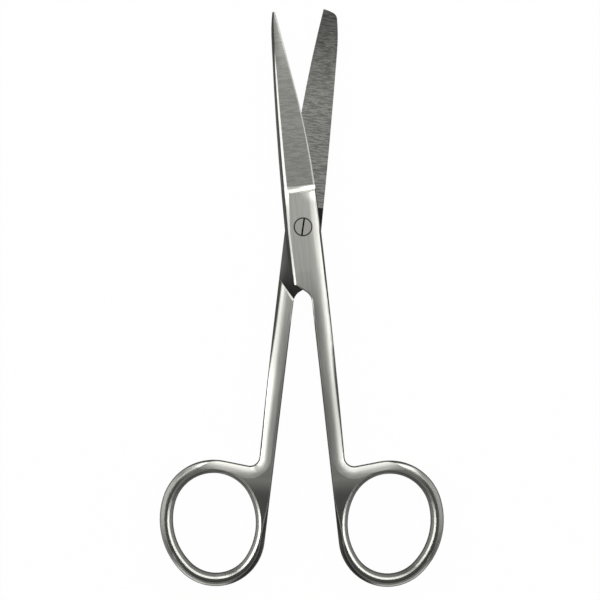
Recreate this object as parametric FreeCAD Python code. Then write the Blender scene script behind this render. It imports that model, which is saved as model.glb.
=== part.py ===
"""Operating scissors, sharp/blunt, 14.5 cm: two forged halves on a slotted screw.

Each half is made in its own frame: the screw's axis at the origin, +Y to the tip, the cutting edge, the shank and
the finger ring at +X, the spine at -X, the mating plane at z = 0 and the outer face at +Z.
The finished pair lies on the lower half's outer face: +Z up, +Y to the tips, the origin on the screw's axis.
"""
import FreeCAD, Part
import math
import os
from FreeCAD import Vector

# The pair as it lies
opening_deg = 13.2             # angle between the halves
mate_gap = 0.04                # between the two mating faces

# Joint boss
boss_thickness = 2.45          # mating plane to outer face
boss_side = 4.40               # screw axis to the rounded side
boss_side_top = -8.0           # that side is straight from here ...
boss_side_bottom = -16.0       # ... down to here
boss_round = 2.10              # rounding of the outer face into that side
boss_corner = (-3.74, -13.92)  # lower corner of the spine side
spine_base = (-4.60, -1.0)     # widest point of the spine side

# Crotch below the boss, and the diagonal step of the mating side
crotch_slope_deg = 38.8        # underside of the boss, below the horizontal
crotch_radius = 3.2            # its run into the shank
step_outer = (4.40, -13.48)
step_inner = (0.06, -18.17)
step_bevel = (0.48, 0.30)      # width and height of its broken edge

# Shank
shank_inner = 0.15             # half the gap between the closed shanks
shank_outer = 4.0              # outer side where the shank nears the ring ...
shank_end = -55.0              # ... at this height
shank_thickness = 3.5          # centred on the mating plane
shank_round = 1.62             # rounding of the outer side
shank_edge_round = 0.35        # rounding of the inner side
crown_start = 1.0              # outside this the faces fall off in a crown ...
crown_radius = 7.0
crown_tilt = 0.035             # ... that starts with this fall per mm
crown_web_width = 3.0          # it follows the outline round the web at this width
taper_top = -11.0              # the outer face comes down from the boss ...
taper_bottom = -33.0           # ... to the shank between these heights

# Finger ring: the opening is an oval of a low and a high circle joined by flatter side arcs
ring_low_radius = 8.85
ring_high_radius = 9.85
ring_side_radius = 15.3
ring_low_y = -79.1             # height of the low circle's centre
ring_rise = (1.32, 5.98)       # from the low centre to the high one
ring_wall = 3.3
ring_round = 1.50              # rounding of the outer contour
ring_inset = 1.35              # the rounded inner wall reaches this far into the face
ring_blend_top = -68.0         # the shank's inner rounding grows from here to the low circle
crown_slope_deg = 4.5          # line from the ring's crown down to the shank
web_radius = 2.4               # corner between that line and the shank

# Blade
blade_start = 10.8             # the blade is joined to the boss here
bevel_slope = 0.24             # outer face: rise per mm away from the cutting edge
edge_land = 0.50               # height of that face over the edge's chord
ramp_radius = 1.75             # hollow ramp from the blade's face up to the boss
ramp_left = (-2.44, 9.70)      # line along which the ramp leaves the blade's face
ramp_right = (3.12, 10.25)
edge_thickness = 0.05
edge_bevel_width = 0.50        # cutting bevel
edge_bevel_rise = 0.60
spine_draft = 0.42             # lean of the spine's wall, per mm of height
chamfer_top = (8.0, 1.24, 0.95)         # spine chamfer: place, height of its lower edge, rise per mm ...
chamfer_waist = (-1.0, 1.35, 1.60)      # ... narrower beside the screw ...
chamfer_foot = (-19.0, 2.07, 0.66)      # ... and down to the crotch
chamfer_drop = 0.0125          # it sinks by this per mm from its top place to the tip
hollow_radius = 60.0           # hollow-ground inner face
hollow_base_depth = 0.10
hollow_tip_depth = 0.012
hollow_end = 4.5

# Plan points of each blade: cutting edge, spine, the ends of the hollow's middle line, and the tip
sharp = {
    "edge_base": (4.08, 10.4),
    "edge_top": (1.90, 34.5),
    "spine_middle": (-3.80, 27.1),
    "spine_top": (-2.60, 48.0),
    "hollow_base": (0.3, 10.8),
    "hollow_tip": (-1.2, 54.0),
}
sharp_edge_end = 52.6          # height where the straight end of the cutting edge meets the tip
sharp_tip = (-1.00, 54.0)
sharp_spine_tip = (-1.72, 53.95)

blunt = {
    "edge_base": (4.35, 10.4),
    "edge_top": (1.39, 54.5),
    "spine_middle": (-4.03, 22.2),
    "spine_top": (-3.21, 44.6),
    "hollow_base": (0.5, 10.8),
    "hollow_tip": (0.0, 54.0),
}
blunt_spine_bend = (-2.24, 52.45)
nose_corner_radius = 1.90
nose_corner_deg = 55.0

# Screw
head_radius = 2.17
head_gap = 0.05
head_height = 1.15             # outer face to the seat under the head
head_bevel = 0.08
slot_width = 0.42
slot_depth = 0.65
slot_deg = -8.0                # from +Y
neck_radius = 1.60             # turns in the upper half
neck_gap = 0.03
thread_radius = 1.45           # held in the lower half
thread_gap = 0.01

UP = Vector(0, 0, 1)
spill = 5.0                    # how far a cutting tool reaches past the steel
margin = 0.5                   # the same, where the tool follows a bend ...
skin = 0.1                     # ... or twists
whole = 120.0                  # longer than a whole half
near = 0.01                    # points closer than this are one point
cut_tolerance = 0.0005


def v(p, z=0.0):
    return Vector(p[0], p[1], z)


def polar(centre, radius, angle_deg):
    angle = math.radians(angle_deg)
    return (centre[0] + radius * math.cos(angle), centre[1] + radius * math.sin(angle))


def bearing(start, end):
    return math.degrees(math.atan2(end[1] - start[1], end[0] - start[0]))


def distance(a, b):
    return math.hypot(b[0] - a[0], b[1] - a[1])


def line(a, b):
    return Part.makeLine(v(a), v(b))


def arc(centre, radius, start_deg, end_deg):
    """Anticlockwise arc."""
    circle = Part.Circle(v(centre), UP, radius)
    turn_deg = (end_deg - start_deg) % 360
    return Part.Arc(circle, math.radians(start_deg), math.radians(start_deg + turn_deg)).toShape()


def arc_through(a, middle, b):
    return Part.Arc(v(a), v(middle), v(b)).toShape()


def tangent_arc(start, heading_deg, end):
    """Arc that leaves start along the heading and runs to end."""
    chord_deg = bearing(start, end)
    turn_deg = (chord_deg - heading_deg + 180) % 360 - 180
    half = distance(start, end) / 2
    crest = polar(polar(start, half, chord_deg), half * math.tan(math.radians(turn_deg) / 2), chord_deg - 90)
    return arc_through(start, crest, end)


def heading(edge, at_end=False):
    along = edge.tangentAt(edge.LastParameter if at_end else edge.FirstParameter)
    return math.degrees(math.atan2(along.y, along.x))


def at_height(round_edge, y, side):
    """Point of a round edge at a height, on the side of its circle that bulges to -X or +X."""
    circle = round_edge.Curve
    return (circle.Center.x + side * math.sqrt(circle.Radius ** 2 - (y - circle.Center.y) ** 2), y)


def stretch(round_edge, low, high, side):
    points = [at_height(round_edge, y, side) for y in (low, (low + high) / 2, high)]
    return arc_through(*points)


def crossing(a, a_deg, b, b_deg):
    """Point where two lines meet, each given by a point and a heading."""
    gap_deg = bearing(a, b) - b_deg
    reach = distance(a, b) * math.sin(math.radians(gap_deg)) / math.sin(math.radians(a_deg - b_deg))
    return polar(a, reach, a_deg)


def beyond(edge, reach, at_end=True):
    """Straight run-out of an edge, before its start or after its end."""
    point = edge.valueAt(edge.LastParameter if at_end else edge.FirstParameter)
    along = edge.tangentAt(edge.LastParameter if at_end else edge.FirstParameter)
    return Part.makeLine(point, point + along * reach) if at_end else Part.makeLine(point - along * reach, point)


def chain(corners):
    return [Part.makeLine(a, b) for a, b in zip(corners, corners[1:])]


def wire(edges):
    return Part.Wire(Part.__sortEdges__(edges))


def prism(outline, low, high):
    solid = Part.Face(outline).extrude(UP * (high - low))
    solid.translate(UP * low)
    return solid


def section(points):
    """Closed polygon in the XZ plane."""
    corners = [Vector(reach, 0, height) for reach, height in points]
    return Part.makePolygon(corners + corners[:1])


def sweep(profile, path, side):
    """Solid of a section led along a path; the section's X points to that side of the path and its Z up."""
    start = path[0].valueAt(path[0].FirstParameter)
    placed_profile = profile.rotated(Vector(), UP, heading(path[0]) - 90 * side).translated(start)
    pipe = Part.BRepOffsetAPI.MakePipeShell(Part.Wire(path))
    pipe.setBiNormalMode(UP)
    pipe.add(placed_profile, False, False)
    pipe.build()
    pipe.makeSolid()
    return pipe.shape()


# Finger ring

def ring_centres():
    """Centres of the low and high circles and of the side arcs that join them, right and left."""
    low = (shank_inner + ring_low_radius + ring_wall, ring_low_y)
    high = (low[0] + ring_rise[0], low[1] + ring_rise[1])
    to_low = ring_side_radius - ring_low_radius
    to_high = ring_side_radius - ring_high_radius
    apart = distance(low, high)
    spread = math.degrees(math.acos((to_low ** 2 + apart ** 2 - to_high ** 2) / (2 * to_low * apart)))
    right = polar(low, to_low, bearing(low, high) + spread)
    left = polar(low, to_low, bearing(low, high) - spread)
    return low, high, right, left


def ring_oval(offset):
    """The ring's opening, or the curve that runs round it at an even distance."""
    low, high, right, left = ring_centres()
    low_right, high_right = bearing(right, low), bearing(right, high)
    low_left, high_left = bearing(left, low), bearing(left, high)
    return Part.Wire([
        arc(right, ring_side_radius + offset, low_right, high_right),
        arc(high, ring_high_radius + offset, high_right, high_left),
        arc(left, ring_side_radius + offset, high_left, low_left),
        arc(low, ring_low_radius + offset, low_left, low_right),
    ])


def ring_plug():
    """What fills the opening: a spool whose waist leaves the ring's half-round inner wall."""
    half = shank_thickness / 2
    wall_radius = (half ** 2 + ring_inset ** 2) / (2 * ring_inset)
    path = ring_oval(wall_radius)
    first = path.Edges[0]
    ring = Part.makeCircle(wall_radius, first.valueAt(first.FirstParameter), first.tangentAt(first.FirstParameter))
    wall = path.makePipeShell([Part.Wire(ring)], True, False)
    return prism(path, -wall_radius - spill, wall_radius + spill).cut(wall)


# Boss, shank and ring

def spine_arc(blade):
    return arc_through(spine_base, blade["spine_middle"], blade["spine_top"])


def boss_spine_arc(blade):
    return tangent_arc(spine_base, heading(spine_arc(blade)) - 180, boss_corner)


def side_arc(blade):
    return tangent_arc((boss_side, boss_side_top), 90, blade["edge_base"])


def edge_arc(blade):
    return tangent_arc(blade["edge_base"], heading(side_arc(blade), True), blade["edge_top"])


def crotch_edges():
    """Underside of the boss and its run into the shank."""
    run_deg = 90 - crotch_slope_deg
    run_x = shank_inner - crotch_radius * (1 - math.cos(math.radians(run_deg)))
    run_y = boss_corner[1] - (run_x - boss_corner[0]) * math.tan(math.radians(crotch_slope_deg))
    centre = polar((run_x, run_y), crotch_radius, run_deg - 180)
    return line((run_x, run_y), boss_corner), arc(centre, crotch_radius, 0, run_deg), (shank_inner, centre[1])


def body_outline(blade):
    """Boss, shank and ring in plan, up to the foot of the blade, and the corner between shank and ring."""
    low, high, right, _ = ring_centres()
    low_right, high_right = bearing(right, low), bearing(right, high)
    low_radius, high_radius = ring_low_radius + ring_wall, ring_high_radius + ring_wall
    crown_deg = 90 + crown_slope_deg
    crown = polar(high, high_radius, crown_deg)
    side_top, side_bottom = (boss_side, boss_side_top), (boss_side, boss_side_bottom)
    shank_side = tangent_arc(side_bottom, -90, (shank_outer, shank_end))
    web_corner = crossing((shank_outer, shank_end), heading(shank_side, True), crown, crown_deg + 90)
    underside, run, run_end = crotch_edges()
    ring_side, blend = (shank_inner, ring_low_y), (shank_inner, ring_blend_top)
    spine = stretch(spine_arc(blade), spine_base[1], blade_start, -1)
    edge = stretch(edge_arc(blade), blade["edge_base"][1], blade_start, 1)
    foot = line(at_height(spine_arc(blade), blade_start, -1), at_height(edge_arc(blade), blade_start, 1))
    outline = wire([
        foot, edge, side_arc(blade), line(side_top, side_bottom), shank_side,
        line((shank_outer, shank_end), web_corner), line(web_corner, crown),
        arc(high, high_radius, high_right, crown_deg),
        arc(right, ring_side_radius + ring_wall, low_right, high_right),
        arc(low, low_radius, 180, low_right),
        line(ring_side, blend), line(blend, run_end), run, underside, boss_spine_arc(blade), spine,
    ])
    return outline, web_corner


def face_path(low_y, high_y, x):
    """Side view of the outer face at an X: level over the boss, then an S-curve down to the shank."""
    top, bottom = boss_thickness, shank_thickness / 2
    length, drop = taper_top - taper_bottom, boss_thickness - shank_thickness / 2
    radius = (length ** 2 + drop ** 2) / (4 * drop)
    sag = radius - math.sqrt(radius ** 2 - (length / 4) ** 2)
    middle = Vector(x, (taper_top + taper_bottom) / 2, (top + bottom) / 2)
    upper = Vector(x, (taper_top + middle.y) / 2, top - sag)
    lower = Vector(x, (taper_bottom + middle.y) / 2, bottom + sag)
    start, end = Vector(x, taper_top, top), Vector(x, taper_bottom, bottom)
    return [Part.makeLine(Vector(x, high_y, top), start), Part.Arc(start, upper, middle).toShape(),
            Part.Arc(middle, lower, end).toShape(), Part.makeLine(end, Vector(x, low_y, bottom))]


def taper_tool():
    """What lies above the outer face, over the half's whole width."""
    left, high_y, above = -whole / 2, blade_start + spill, boss_thickness + spill
    path = face_path(-whole, high_y, left)
    corners = [path[-1].valueAt(path[-1].LastParameter), Vector(left, -whole, above),
               Vector(left, high_y, above), path[0].valueAt(path[0].FirstParameter)]
    return Part.Face(Part.Wire(path + chain(corners))).extrude(Vector(whole, 0, 0))


def crown_tool(face_side, web_corner):
    """What the crown takes off the outer part of a face, down the shank and round the web to the ring."""
    level = face_side * shank_thickness / 2
    out_deg = crown_slope_deg
    inner_corner = crossing((crown_start, 0), -90, polar(web_corner, crown_web_width, out_deg - 90), out_deg)
    run = (web_radius + crown_web_width) * math.tan(math.radians(90 + out_deg) / 2)
    bend_start, bend_end = (inner_corner[0], inner_corner[1] + run), polar(inner_corner, run, out_deg)
    if face_side > 0:
        path = face_path(bend_start[1], blade_start + spill, crown_start)
    else:
        path = [Part.makeLine(Vector(crown_start, boss_side_top, level), v(bend_start, level))]
    last = line(bend_end, polar(bend_end, 2 * ring_high_radius, out_deg))
    bend = [tangent_arc(bend_start, -90, bend_end), last]
    for edge in bend:
        edge.translate(UP * level)
    reach = boss_side + margin - crown_start

    def sunk(x):
        return Vector(x, 0, math.sqrt(crown_radius ** 2 - x ** 2) - crown_radius - x * crown_tilt)

    lid = chain([sunk(reach), Vector(reach, 0, spill), Vector(-spill, 0, spill),
                 Vector(-spill, 0, spill * crown_tilt), Vector()])
    profile = Part.Wire([Part.Arc(Vector(), sunk(reach / 2), sunk(reach)).toShape()] + lid)
    if face_side < 0:
        profile = profile.mirror(Vector(), UP)
    return sweep(profile, path + bend, -1)


def rounding_at(point, boss_side_round):
    """Rounding of the outer contour at a point of the plan."""
    if point.x < shank_outer / 2 and point.y > ring_low_y + near:
        return shank_edge_round
    if point.y < shank_end - near:
        return ring_round
    share = (point.y - taper_bottom) / (taper_top - taper_bottom)
    return shank_round + (boss_side_round - shank_round) * min(max(share, 0), 1)


def contour_edges(shape, face_side):
    """Numbered edges round one face of the plain body, but for the spine and the foot of the blade."""
    underside, _, _ = crotch_edges()
    crotch = underside.valueAt(underside.FirstParameter)
    found = []
    for number, edge in enumerate(shape.Edges, 1):
        middle = edge.valueAt((edge.FirstParameter + edge.LastParameter) / 2)
        walls = [f for f in shape.ancestorsOfType(edge, Part.Face)
                 if abs(f.normalAt(*f.Surface.parameter(middle)).z) < near]
        on_spine = middle.x < crotch.x and middle.y > crotch.y
        at_foot = middle.y > blade_start - near
        if len(walls) == 1 and middle.z * face_side > 0 and not on_spine and not at_foot:
            found.append((number, edge))
    return found


def round_contour(doc, shape, face_side, boss_side_round):
    """Round one face's contour, from the crotch down the shank, round the ring and up the outer side."""
    waiting = contour_edges(shape, face_side)
    _, run, _ = crotch_edges()
    here = run.valueAt(run.LastParameter)
    walk = []

    def gap(point):
        return math.hypot(point.x - here.x, point.y - here.y)

    while waiting:
        number, edge = min(waiting, key=lambda item: min(gap(end.Point) for end in item[1].Vertexes))
        waiting = [item for item in waiting if item[0] != number]
        start, end = sorted((edge.Vertexes[0].Point, edge.Vertexes[-1].Point), key=gap)
        # the two roundings of an edge are given against the walk
        walk.append((number, rounding_at(end, boss_side_round), rounding_at(start, boss_side_round)))
        here = end
    plain = doc.addObject("Part::Feature", "Plain")
    plain.Shape = shape
    rounded = doc.addObject("Part::Fillet", "Rounded")
    rounded.Base = plain
    rounded.Edges = walk
    doc.recompute()
    return rounded.Shape


def step_tool():
    """What the mating side lacks above the diagonal step: the room for the other half's boss and blade."""
    low, far = -shank_thickness / 2, distance(step_outer, sharp_tip) + spill
    width, height = step_bevel
    profile = section([(0, mate_gap / 2), (0, low + height), (-width, low), (-width, low - spill),
                       (far, low - spill), (far, mate_gap / 2)])
    path = line(step_inner, step_outer)
    return sweep(profile, [beyond(path, far, False), path, beyond(path, far)], -1)


def rounded_body(doc, blade):
    """Boss, shank and ring, still without the opening."""
    outline, web_corner = body_outline(blade)
    body = prism(outline, -shank_thickness / 2, boss_thickness).cut(taper_tool())
    corner_edges = [e for e in body.Edges if all(distance(end.Point, web_corner) < near for end in e.Vertexes)]
    body = body.makeFillet(web_radius, corner_edges)
    body = round_contour(doc, body, 1, boss_round)
    body = round_contour(doc, body, -1, shank_round)
    for tool in (crown_tool(1, web_corner), crown_tool(-1, web_corner), step_tool()):
        body = body.cut([tool], cut_tolerance)
    return body


# Blade

def sharp_runs(blade):
    """The cutting edge, the tip's end and the spine of the sharp blade, in plan."""
    edge, spine = edge_arc(blade), spine_arc(blade)
    edge_deg = heading(edge, True)
    reach = (sharp_edge_end - blade["edge_top"][1]) / math.sin(math.radians(edge_deg))
    edge_end = polar(blade["edge_top"], reach, edge_deg)
    point = tangent_arc(blade["spine_top"], heading(spine, True), sharp_spine_tip)
    end = [line(edge_end, sharp_tip), line(sharp_tip, sharp_spine_tip)]
    return [edge, line(blade["edge_top"], edge_end)], end, [spine, point]


def blunt_runs(blade):
    """The same of the blunt blade, whose spine runs round the nose to the cutting edge."""
    edge, spine = edge_arc(blade), spine_arc(blade)
    bend = tangent_arc(blade["spine_top"], heading(spine, True), blunt_spine_bend)
    bend_deg = heading(bend, True)
    centre = polar(blunt_spine_bend, nose_corner_radius, bend_deg - 90)
    middle = polar(centre, nose_corner_radius, bend_deg + 90 - nose_corner_deg / 2)
    nose_start = polar(centre, nose_corner_radius, bend_deg + 90 - nose_corner_deg)
    corner = arc_through(blunt_spine_bend, middle, nose_start)
    nose = tangent_arc(nose_start, bend_deg - nose_corner_deg, blade["edge_top"])
    return [edge], [], [spine, bend, corner, nose]


def face_height(p, edge_base, edge_end):
    """Height of the blade's flat outer face over a plan point."""
    toward_spine = v(polar((0, 0), 1, bearing(edge_base, edge_end) + 90))
    return edge_land + bevel_slope * (v(p) - v(edge_base)).dot(toward_spine)


def bevel_tool(edge_base, edge_end):
    """What lies above the blade's flat face and the hollow ramp up to the boss."""
    left = v(ramp_left, face_height(ramp_left, edge_base, edge_end))
    right = v(ramp_right, face_height(ramp_right, edge_base, edge_end))
    third = v(edge_end, face_height(edge_end, edge_base, edge_end))
    across = (right - left).normalize()
    out = across.cross(third - left).normalize()
    along = out.cross(across)
    foot = left - across * (2 * spill)
    ramp_top = foot + (out - along) * ramp_radius
    quarter = math.radians(45)
    ramp_middle = foot + out * ramp_radius * (1 - math.cos(quarter)) - along * ramp_radius * math.sin(quarter)
    far = foot + along * whole
    outline = wire([
        Part.makeLine(far, foot), Part.Arc(foot, ramp_middle, ramp_top).toShape(),
        Part.makeLine(ramp_top, ramp_top + out * spill), Part.makeLine(ramp_top + out * spill, far + out * spill),
        Part.makeLine(far + out * spill, far),
    ])
    return Part.Face(outline).extrude(across * (6 * spill))


def edge_bevel_tool(edge_run):
    low = mate_gap / 2 + edge_thickness
    high = low + edge_bevel_rise
    profile = section([(0, low), (edge_bevel_width, high), (-edge_bevel_width, high), (-edge_bevel_width, low)])
    return sweep(profile, edge_run + [beyond(edge_run[-1], spill)], -1)


def spine_draft_tool(spine_run):
    """What lies outside the leaning wall of the spine; beside the boss the wall runs straight down."""
    high = boss_thickness + mate_gap
    profile = section([(0, 0), (spine_draft * high, high), (-spill, high), (-spill, 0)])
    path = [beyond(spine_run[0], spill - boss_corner[1], False)] + spine_run
    return sweep(profile, path + [beyond(path[-1], spill)], 1)


def chamfer_section(place):
    """What lies above the spine's chamfer, in a section across the spine's foot."""
    _, height, slope = place
    foot = spine_draft * height
    outside, above = foot + skin, boss_thickness - height + skin
    return section([(foot - outside, height - slope * outside), (foot + above / slope, height + above),
                    (foot - outside, height + above)])


def chamfer_tools(spine_run):
    """What the spine's chamfer takes off, along the blade and beside the boss."""
    base = at_height(spine_run[0], chamfer_top[0], -1)
    path = [stretch(spine_run[0], chamfer_top[0], spine_run[1].valueAt(spine_run[1].FirstParameter).y, -1)]
    path += [spine_run[1], beyond(spine_run[1], spill)]
    sink_deg = -math.degrees(math.atan(chamfer_drop))
    along = sweep(chamfer_section(chamfer_top), [e.rotated(v(base), Vector(1, 0, 0), sink_deg) for e in path], 1)
    across = [chamfer_section(chamfer_top).rotated(Vector(), UP, heading(path[0]) - 90).translated(v(base))]
    for place in (chamfer_waist, chamfer_foot):
        across.append(chamfer_section(place).translated(Vector(spine_base[0], place[0], 0)))
    return [along, Part.makeLoft(across, True, True)]


def hollow_tool(blade):
    """Grinding cylinder of the hollow inner face; the hollow thins out towards the tip."""
    base = v(blade["hollow_base"], mate_gap / 2 + hollow_base_depth - hollow_radius)
    tip = v(blade["hollow_tip"], mate_gap / 2 + hollow_tip_depth - hollow_radius)
    along = (tip - base).normalize()
    start = base - along * ((base.y - hollow_end) / along.y)
    return Part.makeCylinder(hollow_radius, (tip - start).Length + spill, start, along)


def forged_half(doc, blade, runs):
    """One half as forged and ground, before its hole is drilled."""
    edge_run, tip_end, spine_run = runs(blade)
    edge_base = blade["edge_base"]
    edge_last = edge_run[-1].valueAt(edge_run[-1].LastParameter)
    edge_lower = stretch(edge_run[0], blade_start, blade["edge_top"][1], 1)
    spine_lower = stretch(spine_run[0], blade_start, blade["spine_top"][1], -1)
    foot = line(at_height(spine_run[0], blade_start, -1), at_height(edge_run[0], blade_start, 1))
    plan = wire([foot, edge_lower] + edge_run[1:] + tip_end + spine_run[1:] + [spine_lower])
    half = rounded_body(doc, blade).fuse(prism(plan, mate_gap / 2, boss_thickness)).removeSplitter()
    cuts = [bevel_tool(edge_base, (edge_last.x, edge_last.y)), spine_draft_tool(spine_run)]
    cuts += chamfer_tools(spine_run) + [edge_bevel_tool(edge_run), hollow_tool(blade), ring_plug()]
    for tool in cuts:
        half = half.cut([tool], cut_tolerance)
    return half


def drill(radius, low, high):
    return Part.makeCylinder(radius, high - low, UP * low)


def sharp_half(doc):
    """Upper half: a clearance hole and the sunk seat for the screw's head."""
    half = forged_half(doc, sharp, sharp_runs)
    half = half.cut(drill(neck_radius + neck_gap, -spill, spill))
    half = half.cut(drill(head_radius + head_gap, boss_thickness - head_height, spill))
    return placed(half, False)


def blunt_half(doc):
    """Lower half, turned over; its hole holds the screw."""
    half = forged_half(doc, blunt, blunt_runs)
    return placed(half.cut(drill(thread_radius + thread_gap, -spill, spill)), True)


def placed(half, turned_over):
    """Turn a half to its place in the pair."""
    if turned_over:
        half = half.rotated(Vector(), Vector(0, 1, 0), 180)
    half = half.rotated(Vector(), UP, -opening_deg / 2 if turned_over else opening_deg / 2)
    return half.translated(UP * boss_thickness).removeSplitter().Solids[0]


def pivot_screw():
    """Slotted screw: its head sinks flush in the upper half, its end is flush with the lower one."""
    top = 2 * boss_thickness
    seat = top - head_height
    head = drill(head_radius, seat, top)
    rim = [e for e in head.Edges if all(end.Z > top - near for end in e.Vertexes) and e.Closed]
    head = head.makeChamfer(head_bevel, rim)
    screw = head.fuse([drill(neck_radius, boss_thickness, seat), drill(thread_radius, 0, boss_thickness)])
    slot = Part.makeBox(slot_width, 2 * spill, slot_depth, Vector(-slot_width / 2, -spill, top - slot_depth))
    slot.rotate(Vector(), UP, slot_deg)
    return screw.cut(slot).removeSplitter()


def main():
    doc = FreeCAD.newDocument("scissors")
    os.makedirs("parts", exist_ok=True)
    sharp_half(doc).exportStep("parts/sharp_half.step")
    blunt_half(doc).exportStep("parts/blunt_half.step")
    pivot_screw().exportStep("parts/pivot_screw.step")


if __name__ == "__main__":
    main()
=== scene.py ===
import math

import bpy
from mathutils import Matrix, Vector

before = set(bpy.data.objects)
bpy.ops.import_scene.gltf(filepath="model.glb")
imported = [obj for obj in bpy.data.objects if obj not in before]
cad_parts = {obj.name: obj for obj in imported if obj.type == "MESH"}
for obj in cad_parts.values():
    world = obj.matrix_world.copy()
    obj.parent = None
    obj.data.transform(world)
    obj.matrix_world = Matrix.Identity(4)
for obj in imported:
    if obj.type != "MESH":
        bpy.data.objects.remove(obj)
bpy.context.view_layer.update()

mm = 0.001
halfTurn = 6.6  # degrees by which each half is turned from the middle
print("frame loaded:", ", ".join(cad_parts))


def linearColour(hexText):
    # sRGB hex to the linear values that Blender wants
    out = []
    for i in (0, 2, 4):
        c = int(hexText[i:i + 2], 16) / 255
        out.append(c / 12.92 if c <= 0.04045 else ((c + 0.055) / 1.055) ** 2.4)
    return (*out, 1.0)


def addNode(tree, kind, settings=None, inputs=None):
    # one node with its settings; an input is a value, a socket or another node's first output
    node = tree.nodes.new(kind)
    for key, value in (settings or {}).items():
        setattr(node, key, value)
    for key, value in (inputs or {}).items():
        if isinstance(value, bpy.types.Node):
            value = value.outputs[0]
        if isinstance(value, bpy.types.NodeSocket):
            tree.links.new(value, node.inputs[key])
        else:
            node.inputs[key].default_value = value
    return node


def newMaterial(name):
    mat = bpy.data.materials.new(name)
    mat.use_nodes = True
    mat.node_tree.nodes.clear()
    return mat, mat.node_tree


def product(tree, *factors):
    # the factors multiplied; a tuple is a smooth change: a value, its limits and, where not 0 and 1, its results
    result = None
    for factor in factors:
        if isinstance(factor, tuple):
            value, low, high, start, end = factor if len(factor) == 5 else (*factor, 0.0, 1.0)
            factor = addNode(tree, "ShaderNodeMapRange", {"interpolation_type": "SMOOTHSTEP"},
                             {"Value": value, "From Min": low, "From Max": high,
                              "To Min": start, "To Max": end})
        if result is not None:
            factor = addNode(tree, "ShaderNodeMath", {"operation": "MULTIPLY"}, {0: result, 1: factor})
        result = factor
    return result


def seenPart(tree):
    # 1 where the camera sees a thing itself, or sees it in metal or through glass
    path = addNode(tree, "ShaderNodeLightPath")
    seen = path.outputs["Is Camera Ray"]
    for ray in ("Is Glossy Ray", "Is Transmission Ray"):
        seen = addNode(tree, "ShaderNodeMath", {"operation": "MAXIMUM"}, {0: seen, 1: path.outputs[ray]})
    return seen


floorInfo = {"size": 3.0, "below": 0.02, "paint": "F4F4F2", "glow": 0.98}  # size in metres, below in mm


def makeFloor(info):
    s = info["size"] / 2
    mesh = bpy.data.meshes.new("floor")
    mesh.from_pydata([(-s, -s, 0), (s, -s, 0), (s, s, 0), (-s, s, 0)], [], [(0, 1, 2, 3)])
    obj = bpy.data.objects.new("floor", mesh)
    bpy.context.collection.objects.link(obj)
    obj.location.z = -info["below"] * mm
    # matt white paint: a plain ground that keeps a faint shadow
    mat, tree = newMaterial("white_table")
    paint = addNode(tree, "ShaderNodeBsdfDiffuse", inputs={"Color": linearColour(info["paint"])})
    white = addNode(tree, "ShaderNodeEmission", inputs={"Color": (1, 1, 1, 1), "Strength": 1.0})
    part = product(tree, seenPart(tree), info["glow"])
    mix = addNode(tree, "ShaderNodeMixShader", inputs={0: part, 1: paint, 2: white})
    addNode(tree, "ShaderNodeOutputMaterial", inputs={"Surface": mix})
    mesh.materials.append(mat)


lampInfo = [
    # place and size in metres; all look at the joint
    {"name": "overhead", "at": (0.0, 0.22, 1.1), "size": (0.9, 0.55), "watts": 0.9},
    {"name": "left", "at": (-0.82, 0.12, 0.46), "size": (0.90, 0.85), "watts": 5.8},
    {"name": "right", "at": (0.82, 0.12, 0.46), "size": (0.90, 0.85), "watts": 5.8},
    {"name": "behind_tips", "at": (0.15, 0.80, 0.54), "size": (1.2, 1.0), "watts": 6.8},
]


def makeLamps(lamps):
    for info in lamps:
        data = bpy.data.lights.new(info["name"], "AREA")
        data.shape = "RECTANGLE"
        data.size, data.size_y = info["size"]
        data.energy = info["watts"]
        lamp = bpy.data.objects.new(info["name"], data)
        bpy.context.collection.objects.link(lamp)
        lamp.location = info["at"]
        lamp.rotation_euler = (-Vector(info["at"])).to_track_quat("-Z", "Y").to_euler()


cameraInfo = {
    "pixels": 600,                  # width of the picture
    "pixelMm": 0.2487,              # size of one pixel at the mating plane ...
    "planeMm": 2.45,                # ... which lies this high
    "pivotPixel": (303.05, 227.2),  # where the screw's axis is seen
    "rollDeg": 0.25,
    "height": 0.5,                  # metres above that plane
    "sensor": 36,
}


def makeCamera(info):
    data = bpy.data.cameras.new("camera")
    cam = bpy.data.objects.new("camera", data)
    bpy.context.collection.objects.link(cam)
    middle = info["pixels"] / 2
    roll = math.radians(info["rollDeg"])
    dx = (middle - info["pivotPixel"][0]) * info["pixelMm"] * mm
    dy = (info["pivotPixel"][1] - middle) * info["pixelMm"] * mm
    at = Matrix.Rotation(roll, 3, "Z") @ Vector((dx, dy, 0))
    cam.location = (at.x, at.y, info["planeMm"] * mm + info["height"])
    cam.rotation_euler = (0, 0, roll)
    data.sensor_width = info["sensor"]
    data.lens = info["sensor"] * info["height"] / (info["pixels"] * info["pixelMm"] * mm)
    data.clip_end = 10
    bpy.context.scene.camera = cam


worldInfo = {"light": 0.12, "backdrop": 0.45, "fade": (0.30, 0.10)}  # fade: heights where the backdrop ends


def makeWorld(info):
    # a grey backdrop stands round the table; the camera and the steel see it, the light stays plain
    world = bpy.data.worlds.new("studio")
    bpy.context.scene.world = world
    world.use_nodes = True
    tree = world.node_tree
    tree.nodes.clear()
    place = addNode(tree, "ShaderNodeTexCoord")
    axis = addNode(tree, "ShaderNodeSeparateXYZ", inputs={0: place.outputs["Generated"]})
    seen = product(tree, seenPart(tree), (axis.outputs[2], *info["fade"]))
    strength = addNode(tree, "ShaderNodeMix", {"data_type": "FLOAT"},
                       {0: seen, 2: info["light"], 3: info["backdrop"]})
    sky = addNode(tree, "ShaderNodeBackground", inputs={"Color": (1, 1, 1, 1), "Strength": strength})
    addNode(tree, "ShaderNodeOutputWorld", inputs={"Surface": sky})


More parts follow.
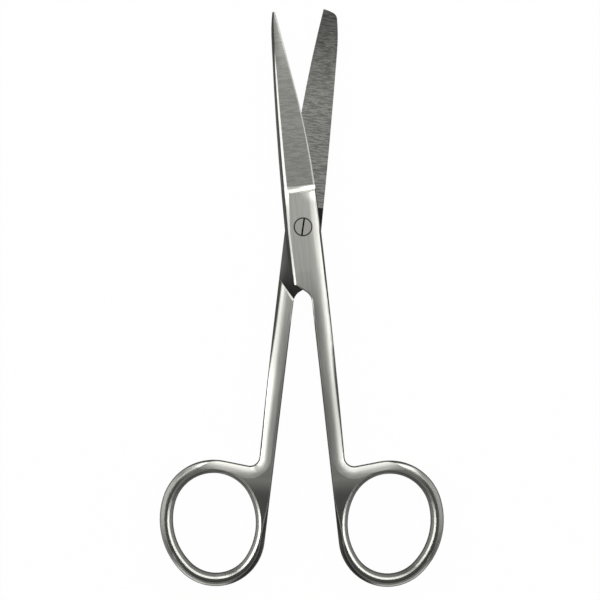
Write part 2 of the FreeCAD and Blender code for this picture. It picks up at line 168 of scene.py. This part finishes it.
makeFloor(floorInfo)
makeLamps(lampInfo)
makeCamera(cameraInfo)
makeWorld(worldInfo)
print("stage ready")


def ownFrame(tree, turnDeg, side):
    # place in mm and normal in the half's own frame, where x grows towards its finger ring
    coords = addNode(tree, "ShaderNodeTexCoord")
    turn = (0, 0, math.radians(turnDeg))
    place = addNode(tree, "ShaderNodeMapping", {"vector_type": "POINT"},
                    {"Vector": coords.outputs["Object"], "Rotation": turn,
                     "Scale": (1 / mm, 1 / mm, 1 / mm)})
    placeAxis = addNode(tree, "ShaderNodeSeparateXYZ", inputs={0: place})
    normal = addNode(tree, "ShaderNodeMapping", {"vector_type": "VECTOR"},
                     {"Vector": coords.outputs["Normal"], "Rotation": turn})
    normalAxis = addNode(tree, "ShaderNodeSeparateXYZ", inputs={0: normal})
    back = Matrix.Rotation(math.radians(-turnDeg), 3, "Z")
    return {
        "side": side, "across": back @ Vector((1, 0, 0)), "along": back @ Vector((0, 1, 0)),
        "place": place, "object": coords.outputs["Object"], "normal": coords.outputs["Normal"],
        "x": product(tree, placeAxis.outputs[0], side),
        "y": placeAxis.outputs[1],
        "z": placeAxis.outputs[2],
        "facing": product(tree, normalAxis.outputs[0], side),  # how far a face looks outwards
        "level": addNode(tree, "ShaderNodeMath", {"operation": "ABSOLUTE"}, {0: normalAxis.outputs[2]}),
    }


grindInfo = {
    # the grinding wheel leaves marks across the blade, 0.4 mm apart, and some deeper scratches;
    # here and below, heights and sides are mm from the screw's axis in the half's own frame
    "perMm": (0.40, 2.6, 0.40),
    "noise": {"Scale": 1.0, "Detail": 3.0, "Roughness": 0.6, "Distortion": 0.25},
    "used": (0.38, 0.62),          # part of the noise's range
    "scratchEvery": 0.06,          # noise between two scratches
    "scratchWidth": 0.03,
    "scratchDepth": 1.6,           # times the depth of the marks
    "toneHeights": (30.0, 54.0),   # painted shade darkens the blade, changing along its length ...
    "tipHeights": (36.0, 50.0),
    "tipSides": (-2.4, 0.2),       # ... and painted shade turning to painted highlight across its tip
}


def grindMarksAndShading(tree, at, info, look):
    spots = addNode(tree, "ShaderNodeMapping", inputs={"Vector": at["place"], "Scale": info["perMm"]})
    noise = addNode(tree, "ShaderNodeTexNoise", inputs={"Vector": spots, **info["noise"]})
    near = addNode(tree, "ShaderNodeMath", {"operation": "PINGPONG"}, {0: noise, 1: info["scratchEvery"]})
    tipSide = product(tree, (at["x"], *info["tipSides"], *look["tipTone"]))
    tip = addNode(tree, "ShaderNodeMix", {"data_type": "FLOAT"},
                  {0: product(tree, (at["y"], *info["tipHeights"])), 2: 1.0, 3: tipSide})
    depth = look["markDepth"]
    return product(tree, (noise, *info["used"], 1 - depth, 1 + depth),
                   (near, 0.0, info["scratchWidth"], 1 - info["scratchDepth"] * depth, 1.0),
                   (at["y"], *info["toneHeights"], *look["bladeTone"]), tip)


brushInfo = {
    # brush lines along the joint and the shank, drawn coarser than real ones so that they show
    "perMm": (2.6, 0.10, 2.6),
    "noise": {"Scale": 1.0, "Detail": 2.0, "Roughness": 0.6},
    "used": (0.3, 0.7),
    "depth": 0.07,
    "ringFrom": (-50.0, -60.0),    # the ring has no lines and is painted lighter, a painted highlight
    "ringTone": 1.25,
}


def brushLinesAndShading(tree, at, info, look):
    spots = addNode(tree, "ShaderNodeMapping", inputs={"Vector": at["place"], "Scale": info["perMm"]})
    noise = addNode(tree, "ShaderNodeTexNoise", inputs={"Vector": spots, **info["noise"]})
    linesAndShading = product(tree, (noise, *info["used"], 1 - info["depth"], 1 + info["depth"]))
    linesAndShading = addNode(tree, "ShaderNodeMix", {"data_type": "FLOAT"},
                    {0: product(tree, (at["y"], *info["ringFrom"])), 2: linesAndShading, 3: info["ringTone"]})
    return product(tree, linesAndShading, look["jointTone"](tree, at["x"], at["y"]))


shankInfo = {
    # painted shade: flat faces are darkened towards the ring, the web beside the ring most; outward slopes get a
    # painted highlight
    "flat": (0.95, 0.995),         # upward part of a flat face's normal
    "flatHeights": (-10.0, -44.0), "flatTone": (0.88, 0.60),
    "webHeights": (-62.0, -68.5), "webTone": 0.45,
    "slopeFacing": (0.03, 0.15), "slopeHeights": (-30.0, -42.0),
}


def shankShading(tree, at, info, look):
    y = at["y"]
    isFlat = product(tree, (at["level"], *info["flat"]))
    flat = addNode(tree, "ShaderNodeMix", {"data_type": "FLOAT"},
                   {0: isFlat, 2: 1.0, 3: product(tree, (y, *info["flatHeights"], *info["flatTone"]))})
    web = product(tree, isFlat, (y, *info["webHeights"]))
    slope = product(tree, (at["facing"], *info["slopeFacing"]), (y, *info["slopeHeights"]))
    return product(tree, flat, (web, 0.0, 1.0, 1.0, info["webTone"]),
                   (slope, 0.0, 1.0, 1.0, look["slopeTone"]))


highlightInfo = {
    # the spine's chamfer gets a painted highlight in its upper part and painted shade below; the cutting bevel
    # gets a painted highlight of about half strength
    "spineFacing": (-0.35, -0.50), "spineHeights": (-24.0, -21.0),
    "stripZ": (4.05, 4.25),        # the strip's lower line, mm above the table ...
    "stripFall": 0.02,             # ... falls by this per mm towards the tip
    "stripEnd": (47.0, 39.0),      # and the strip ends short of the tip
    "jointHeights": (4.0, 12.0), "jointShare": 0.4,
    "bevelFacing": (0.40, 0.55), "bevelShare": 0.45,
}


def spineStrips(tree, at, info):
    # how much there is of the strip with painted highlight and of the strip with painted shade below it
    line = addNode(tree, "ShaderNodeMath", {"operation": "MULTIPLY_ADD"},
                   {0: at["y"], 1: info["stripFall"], 2: at["z"]})
    line = addNode(tree, "ShaderNodeMath", {"operation": "ABSOLUTE"}, {0: line})
    stripHighlight = product(tree, (line, *info["stripZ"]), (at["y"], *info["stripEnd"]))
    spine = product(tree, (at["facing"], *info["spineFacing"]), (at["y"], *info["spineHeights"]))
    upper = product(tree, spine, stripHighlight, (at["y"], *info["jointHeights"], info["jointShare"], 1.0))
    lower = addNode(tree, "ShaderNodeMath", {"operation": "SUBTRACT", "use_clamp": True},
                    {0: spine, 1: stripHighlight})
    return upper, lower


wallShadeInfo = {
    # upward part of the normal: below the first value a steep wall gets painted shade, above the second it stays
    # a satin face
    "plain": (0.41, 0.50),
    "ring": (0.40, 0.80),
    "rimSpread": 0.035,            # the same between both values on the shank's rounded rim
    "rimFacing": (0.05, 0.15), "rimHeights": (-22.0, -48.0),
    "ringFrom": (-56.0, -64.0),
    "holeFacing": (-0.40, -0.62), "holeShare": 0.85,         # painted shade on the wall of the finger opening
    "outerFacing": (0.10, 0.35), "outerSides": (19.0, 23.0), "outerShare": 0.75,   # painted shade on the far side of the ring
    # painted shade on the shank's sides that face the other half
    "innerFacing": (-0.12, -0.40), "innerHeights": (-21.0, -25.0), "innerSides": (17.0, 12.0),
}


def wallShadePart(tree, at, info, look, outward, shadedStrip):
    # painted shade: it starts on the rounding of the shank and ring, and the sides that face the other half are
    # painted darker
    x, y, facing = at["x"], at["y"], at["facing"]
    ring = product(tree, (y, *info["ringFrom"]))
    rim = product(tree, (facing, *info["rimFacing"]), (y, *look["rimFrom"]))
    rimLow = product(tree, (y, *info["rimHeights"], *look["rimLevel"]))
    rimHigh = addNode(tree, "ShaderNodeMath", {"operation": "ADD"}, {0: rimLow, 1: info["rimSpread"]})
    limits = []
    for plain, rounded, onRing in zip(info["plain"], (rimLow, rimHigh), info["ring"]):
        limit = addNode(tree, "ShaderNodeMix", {"data_type": "FLOAT"}, {0: rim, 2: plain, 3: rounded})
        limit = addNode(tree, "ShaderNodeMix", {"data_type": "FLOAT"}, {0: ring, 2: limit, 3: onRing})
        limits.append(limit)
    paintedWallShade = product(tree, (at["level"], limits[1], limits[0]))
    away = addNode(tree, "ShaderNodeVectorMath", {"operation": "DOT_PRODUCT"},
                   {0: outward, 1: at["normal"]}).outputs[1]
    hole = product(tree, (away, *info["holeFacing"], 0.0, info["holeShare"]), ring)
    outer = product(tree, (facing, *info["outerFacing"], 0.0, info["outerShare"]),
                    (x, *info["outerSides"]), ring)
    inner = product(tree, (facing, *info["innerFacing"]), (y, *info["innerHeights"]),
                    (x, *info["innerSides"]))
    for part in (hole, outer, inner, shadedStrip):
        paintedWallShade = addNode(tree, "ShaderNodeMath", {"operation": "MAXIMUM"}, {0: paintedWallShade, 1: part})
    return paintedWallShade


directionInfo = {
    "ringCentre": (12.96, -76.1),
    "lean": 0.02,                  # gives flat faces a direction where they have no slope
    "slopeFrom": (-40.0, -50.0),
    "ringFrom": (-61.0, -65.0),
}


def ringOutward(tree, at, info):
    # level direction away from the middle of the finger opening
    side, height = info["ringCentre"]
    centre = (at["across"] * side * at["side"] + at["along"] * height) * mm
    outward = addNode(tree, "ShaderNodeVectorMath", {"operation": "SUBTRACT"}, {0: at["object"], 1: centre})
    outward = addNode(tree, "ShaderNodeVectorMath", {"operation": "MULTIPLY"}, {0: outward, 1: (1, 1, 0)})
    return addNode(tree, "ShaderNodeVectorMath", {"operation": "NORMALIZE"}, {0: outward})


def acrossBrush(tree, at, info, outward, onBlade):
    # highlights spread along the blade, down the slope on the shank and web, and outwards on the ring
    slope = addNode(tree, "ShaderNodeVectorMath", {"operation": "MULTIPLY"},
                    {0: at["normal"], 1: (1, 1, 0)})
    slope = addNode(tree, "ShaderNodeVectorMath", {"operation": "ADD"},
                    {0: slope, 1: at["across"] * at["side"] * info["lean"]})
    slope = addNode(tree, "ShaderNodeVectorMath", {"operation": "NORMALIZE"}, {0: slope})
    way = at["across"]
    for part, other in ((product(tree, (at["y"], *info["slopeFrom"])), slope),
                        (product(tree, (at["y"], *info["ringFrom"])), outward),
                        (onBlade, at["along"])):
        way = addNode(tree, "ShaderNodeMix", {"data_type": "VECTOR"},
                      {0: part, 4: way, 5: other}).outputs[1]
    return addNode(tree, "ShaderNodeVectorTransform",
                   {"vector_type": "VECTOR", "convert_from": "OBJECT", "convert_to": "WORLD"}, {0: way})


satinInfo = {
    # ground and brushed stainless steel, IOR left at the metal default: soft grey with long highlights
    "colour": "C8C8C2",
    "paintedWallShade": "3E403C",              # painted shade: sides, rims and ring walls are painted dark; they are also rougher
    "paintedHighlight": "E8E8E4",            # painted highlight on the spine strip and the cutting bevel
    "faceRough": 0.31,
    "wallRough": 0.50,
    "brushing": 0.7,               # anisotropy: highlights spread across the brush lines
}


def satinSteel(name, info, turnDeg, look):
    mat, tree = newMaterial(name)
    at = ownFrame(tree, turnDeg, look["side"])
    onBlade = product(tree, (at["y"], *look["bladeFrom"]))
    linesAndShading = brushLinesAndShading(tree, at, brushInfo, look)
    marksAndShading = grindMarksAndShading(tree, at, grindInfo, look)
    grainAndShading = addNode(tree, "ShaderNodeMix", {"data_type": "FLOAT"}, {0: onBlade, 2: linesAndShading, 3: marksAndShading})
    tone = product(tree, grainAndShading, shankShading(tree, at, shankInfo, look))
    paint = addNode(tree, "ShaderNodeVectorMath", {"operation": "SCALE"},
                    {0: linearColour(info["colour"])[:3], "Scale": tone})
    # painted highlight on the spine's strip and the cutting bevel, painted shade on the strip below and on steep
    # walls
    paintedStrip, shadedStrip = spineStrips(tree, at, highlightInfo)
    bevelHighlight = product(tree, (at["facing"], *highlightInfo["bevelFacing"], 0.0, highlightInfo["bevelShare"]),
                    onBlade)
    outward = ringOutward(tree, at, directionInfo)
    paintedWallShade = wallShadePart(tree, at, wallShadeInfo, look, outward, shadedStrip)
    for part, paintKey in ((paintedStrip, "paintedHighlight"), (bevelHighlight, "paintedHighlight"), (paintedWallShade, "paintedWallShade")):
        paint = addNode(tree, "ShaderNodeMixRGB", {"blend_type": "MIX"},
                        {0: part, 1: paint, 2: linearColour(info[paintKey])})
    rough = addNode(tree, "ShaderNodeMix", {"data_type": "FLOAT"},
                    {0: paintedWallShade, 2: info["faceRough"], 3: info["wallRough"]})
    steel = addNode(tree, "ShaderNodeBsdfPrincipled",
                    inputs={"Base Color": paint, "Metallic": 1.0, "Roughness": rough,
                            "Anisotropic": info["brushing"],
                            "Tangent": acrossBrush(tree, at, directionInfo, outward, onBlade)})
    addNode(tree, "ShaderNodeOutputMaterial", inputs={"Surface": steel})
    return mat


def reachFromAxis(tree, x, y):
    # distance from the screw's axis
    flat = addNode(tree, "ShaderNodeCombineXYZ", inputs={0: x, 1: y})
    return addNode(tree, "ShaderNodeVectorMath", {"operation": "LENGTH"}, {0: flat}).outputs[1]


outerInfo = {
    "seam": (2.32, 2.42), "seamTone": 0.25,     # distance from the axis: painted shade in the gap round the head
    "cornerSlant": 0.16,                        # the ramp's foot rises by this per mm
    "cornerHeights": (5.5, 8.6), "cornerSides": (-1.0, 3.0), "cornerTone": 1.6,
}


def outerShadeAndHighlight(tree, x, y):
    # outer face of the joint: painted shade in the gap round the screw, and a painted highlight on the top
    # corner by the ramp
    info = outerInfo
    height = addNode(tree, "ShaderNodeMath", {"operation": "MULTIPLY_ADD"},
                     {0: x, 1: info["cornerSlant"], 2: y})
    corner = product(tree, (height, *info["cornerHeights"]), (x, *info["cornerSides"]))
    return product(tree, (reachFromAxis(tree, x, y), *info["seam"], info["seamTone"], 1.0),
                   (corner, 0.0, 1.0, 1.0, info["cornerTone"]))


matingInfo = {
    "stepAcross": (-0.734, 0.679), "stepReach": 12.38,   # the diagonal step's direction and place
    "stepEdge": (0.05, 0.15),
    "sides": (2.0, 5.5), "sideTone": (0.23, 0.46),
    "lowHeights": (-17.5, -9.0), "lowTone": 0.35,
    "highHeights": (-4.0, 2.0), "highTone": 0.25,
}


def matingShade(tree, x, y):
    # painted shade: the flat of the joint, above the diagonal step, is darkened across its width, towards the
    # crotch and towards its top
    info = matingInfo
    stepX, stepY = info["stepAcross"]
    past = addNode(tree, "ShaderNodeMath", {"operation": "MULTIPLY_ADD"},
                   {0: y, 1: stepY, 2: info["stepReach"]})
    past = addNode(tree, "ShaderNodeMath", {"operation": "MULTIPLY_ADD"}, {0: x, 1: stepX, 2: past})
    shade = product(tree, (x, *info["sides"], *info["sideTone"]),
                    (y, *info["lowHeights"], info["lowTone"], 1.0),
                    (y, *info["highHeights"], 1.0, info["highTone"]))
    return addNode(tree, "ShaderNodeMix", {"data_type": "FLOAT"},
                   {0: product(tree, (past, *info["stepEdge"])), 2: 1.0, 3: shade})


# what differs between the half that shows its outer face and the one that shows its mating face
# bladeTone and tipTone are painted shade and highlight on the blade, slopeTone a painted highlight on the shank,
# jointTone painted shade and highlight on the joint; rimFrom and rimLevel place the painted wall shade
upperLook = {"side": 1, "bladeFrom": (9.9, 10.5), "markDepth": 0.13, "bladeTone": (0.67, 0.76),
             "tipTone": (0.60, 1.50), "rimFrom": (2.0, -6.0), "rimLevel": (0.89, 0.915), "slopeTone": 1.0,
             "jointTone": outerShadeAndHighlight}
lowerLook = {"side": -1, "bladeFrom": (5.2, 5.35), "markDepth": 0.30, "bladeTone": (0.70, 0.28),
             "tipTone": (1.0, 1.0), "rimFrom": (-8.0, -13.0), "rimLevel": (0.90, 0.865), "slopeTone": 1.4,
             "jointTone": matingShade}
upperSteel = satinSteel("upper_satin_steel", satinInfo, -halfTurn, upperLook)
lowerSteel = satinSteel("lower_satin_steel", satinInfo, halfTurn, lowerLook)


screwInfo = {
    # fine-turned stainless steel: an even, slightly duller grey; painted shade in the slot and along the gap at
    # the rim
    "colour": "C4C4BE",
    "slot": "161715",
    "roughness": 0.36,
    "slotZ": (4.87, 4.78),         # mm above the table
    "rim": (2.0, 2.06),            # mm from the axis
}


def screwMaterial(info):
    mat, tree = newMaterial("turned_steel")
    place = addNode(tree, "ShaderNodeTexCoord")
    axis = addNode(tree, "ShaderNodeSeparateXYZ", inputs={0: place.outputs["Object"]})
    sunk = product(tree, (axis.outputs[2], *[z * mm for z in info["slotZ"]]))
    reach = reachFromAxis(tree, axis.outputs[0], axis.outputs[1])
    rim = product(tree, (reach, *[r * mm for r in info["rim"]]))
    gapShade = addNode(tree, "ShaderNodeMath", {"operation": "MAXIMUM"}, {0: sunk, 1: rim})
    paint = addNode(tree, "ShaderNodeMixRGB", {"blend_type": "MIX"},
                    {0: gapShade, 1: linearColour(info["colour"]), 2: linearColour(info["slot"])})
    steel = addNode(tree, "ShaderNodeBsdfPrincipled",
                    inputs={"Base Color": paint, "Metallic": 1.0, "Roughness": info["roughness"]})
    addNode(tree, "ShaderNodeOutputMaterial", inputs={"Surface": steel})
    return mat


screwSteel = screwMaterial(screwInfo)
for name, steel in (("sharp_half", upperSteel), ("blunt_half", lowerSteel), ("pivot_screw", screwSteel)):
    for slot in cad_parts[name].material_slots:
        slot.material = steel
print("steel dressed")

bpy.context.scene.view_settings.view_transform = "Standard"
